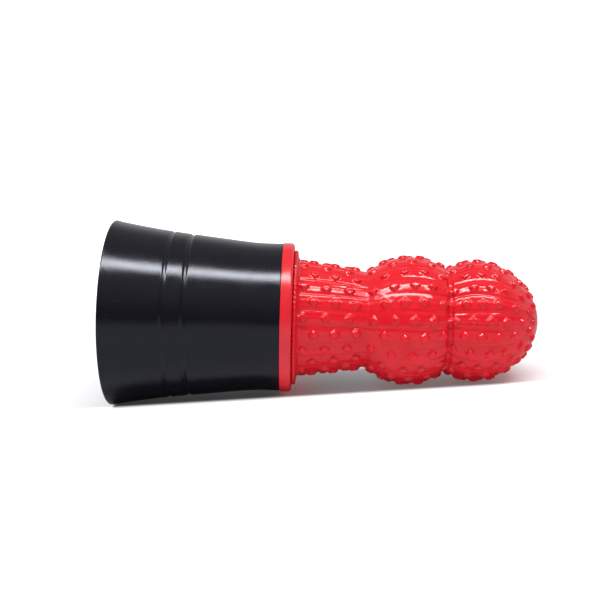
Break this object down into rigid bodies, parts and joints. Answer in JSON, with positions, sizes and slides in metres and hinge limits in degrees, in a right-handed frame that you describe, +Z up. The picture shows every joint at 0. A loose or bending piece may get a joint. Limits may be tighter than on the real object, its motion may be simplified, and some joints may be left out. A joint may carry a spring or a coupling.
{
  "type": "squeeze horn",
  "caption": "Squeeze-bulb horn: flared black bell, red collar and a soft red lobed bulb with pleats and knobs that blows a brass reed when squeezed.",
  "frame": {"origin": "middle of the bounding box, on the surface that the horn lies on", "axes": "+Z up, +X from the bell's mouth towards the bulb's tip, the horn's own axis sloping down towards +X"},
  "size_m": [0.1748, 0.075, 0.0747],
  "materials": {
    "bell": "gloss, faintly scratched",
    "gasket": "matt",
    "plate": "matt moulded",
    "screws": "zinc plated",
    "plug": "matt",
    "shallot": "drawn tube",
    "tongue": "rolled strip",
    "wedge": "bare",
    "collar": "gloss",
    "bulb": "wet-looking gloss"
  },
  "bodies": {
    "bell": {"bell": "bell", "plate_gasket": "gasket", "reed_plate": "plate", "plate_screws": "screws", "reed_plug": "plug", "reed_shallot": "shallot", "reed_wedge": "wedge"},
    "reed": {"reed_tongue": "tongue"},
    "bulb": {"bulb": "bulb"},
    "collar": {"collar_ring": "collar"}
  },
  "joints": [
    {"name": "bulb_advance", "type": "slide", "parent": "bell", "child": "bulb", "axis": [0.9958, 0, -0.0913], "range_m": [0, 0.0045]},
    {"name": "collar_turn", "type": "hinge", "parent": "bulb", "child": "collar", "pos_m": [-0.01429, 0, 0.03102], "axis": [0.9958, 0, -0.0913], "range_deg": [0, 1080]},
    {"name": "reed_flex", "type": "hinge", "parent": "bell", "child": "reed", "pos_m": [-0.01667, 0, 0.03295], "axis": [0, 1, 0], "range_deg": [-2.5, 1.7], "stiffness_Nm_per_rad": 0.05, "deforming": ["reed_tongue"]}
  ],
  "couplings": [
    {"joint": "bulb_advance", "follows": "collar_turn", "m_per_rad": 0.0002387}
  ]
}
